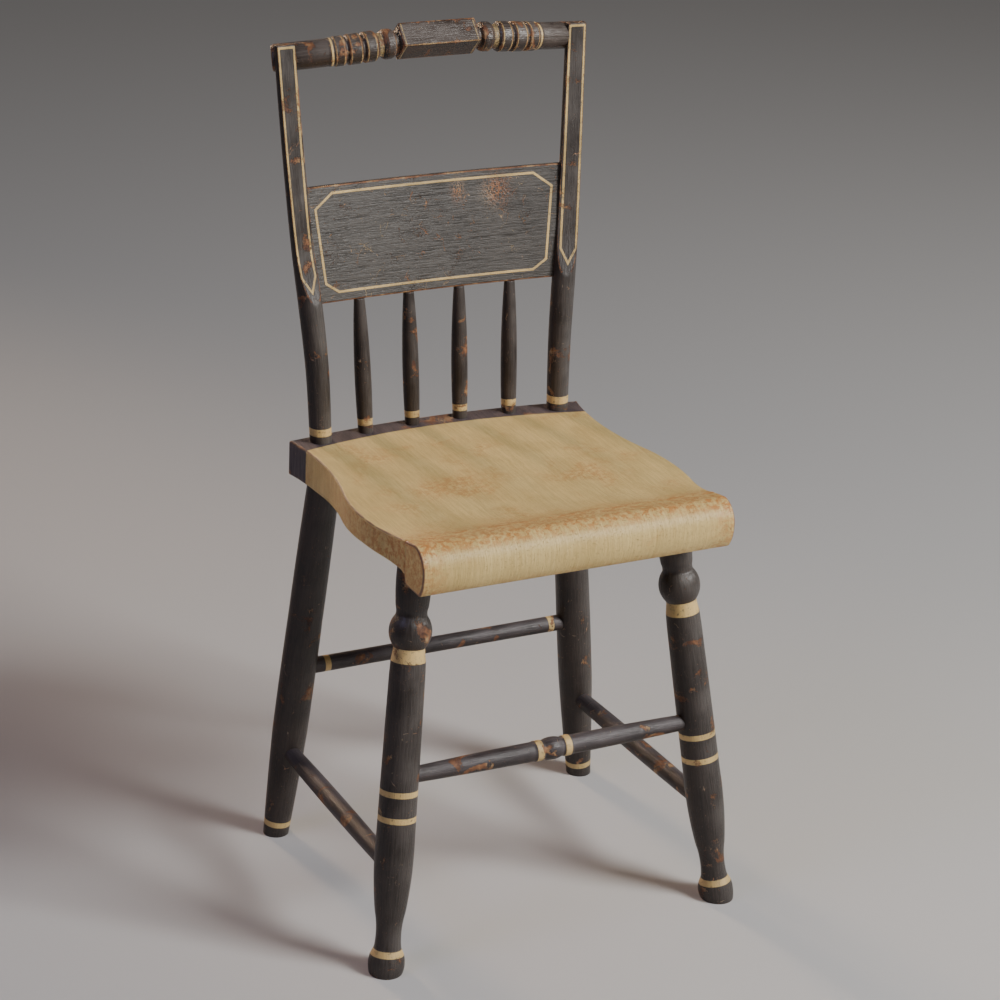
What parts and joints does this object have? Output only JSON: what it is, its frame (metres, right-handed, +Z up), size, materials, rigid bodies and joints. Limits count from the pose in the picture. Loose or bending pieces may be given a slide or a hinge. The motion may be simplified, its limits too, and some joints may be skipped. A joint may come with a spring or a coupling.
{
  "type": "side chair",
  "caption": "Painted wooden side chair with a flat plank seat and rolled front, turned splayed legs, short back spindles, a wide slat and a turned crest rail.",
  "frame": {"origin": "on the floor, below the middle of the chair's overall width and depth", "axes": "+Z up, -Y towards the chair's front, +X to the viewer's right when the front is seen"},
  "size_m": [0.422, 0.4136, 0.8759],
  "materials": {
    "seat_paint": "aged satin paint, cream yellow",
    "roll_paint": "aged satin paint, cream yellow",
    "leg_paint": "aged satin paint, black brown with cream rings",
    "stretcher_paint": "worn satin paint, dark brown",
    "post_paint": "aged satin paint, black brown with cream striping",
    "spindle_paint": "aged satin paint, black brown with cream rings",
    "slat_paint": "aged satin paint, brushed black with cream striping",
    "crest_paint": "aged satin paint, black brown with cream striping",
    "pin_wood": "bare wood under old paint"
  },
  "bodies": {
    "root": {"seat_plank": "seat_paint", "seat_front_roll": "roll_paint", "front_leg_left": "leg_paint", "front_leg_right": "leg_paint", "back_leg_left": "leg_paint", "back_leg_right": "leg_paint", "front_stretcher": "stretcher_paint", "rear_stretcher": "stretcher_paint", "side_stretcher_left": "stretcher_paint", "side_stretcher_right": "stretcher_paint", "back_post_left": "post_paint", "back_post_right": "post_paint", "spindle_outer_left": "spindle_paint", "spindle_inner_left": "spindle_paint", "spindle_inner_right": "spindle_paint", "spindle_outer_right": "spindle_paint", "back_slat": "slat_paint", "crest_rail": "crest_paint", "crest_peg_left": "pin_wood", "crest_peg_right": "pin_wood", "slat_pin_left": "pin_wood", "slat_pin_right": "pin_wood"}
  },
  "joints": []
}
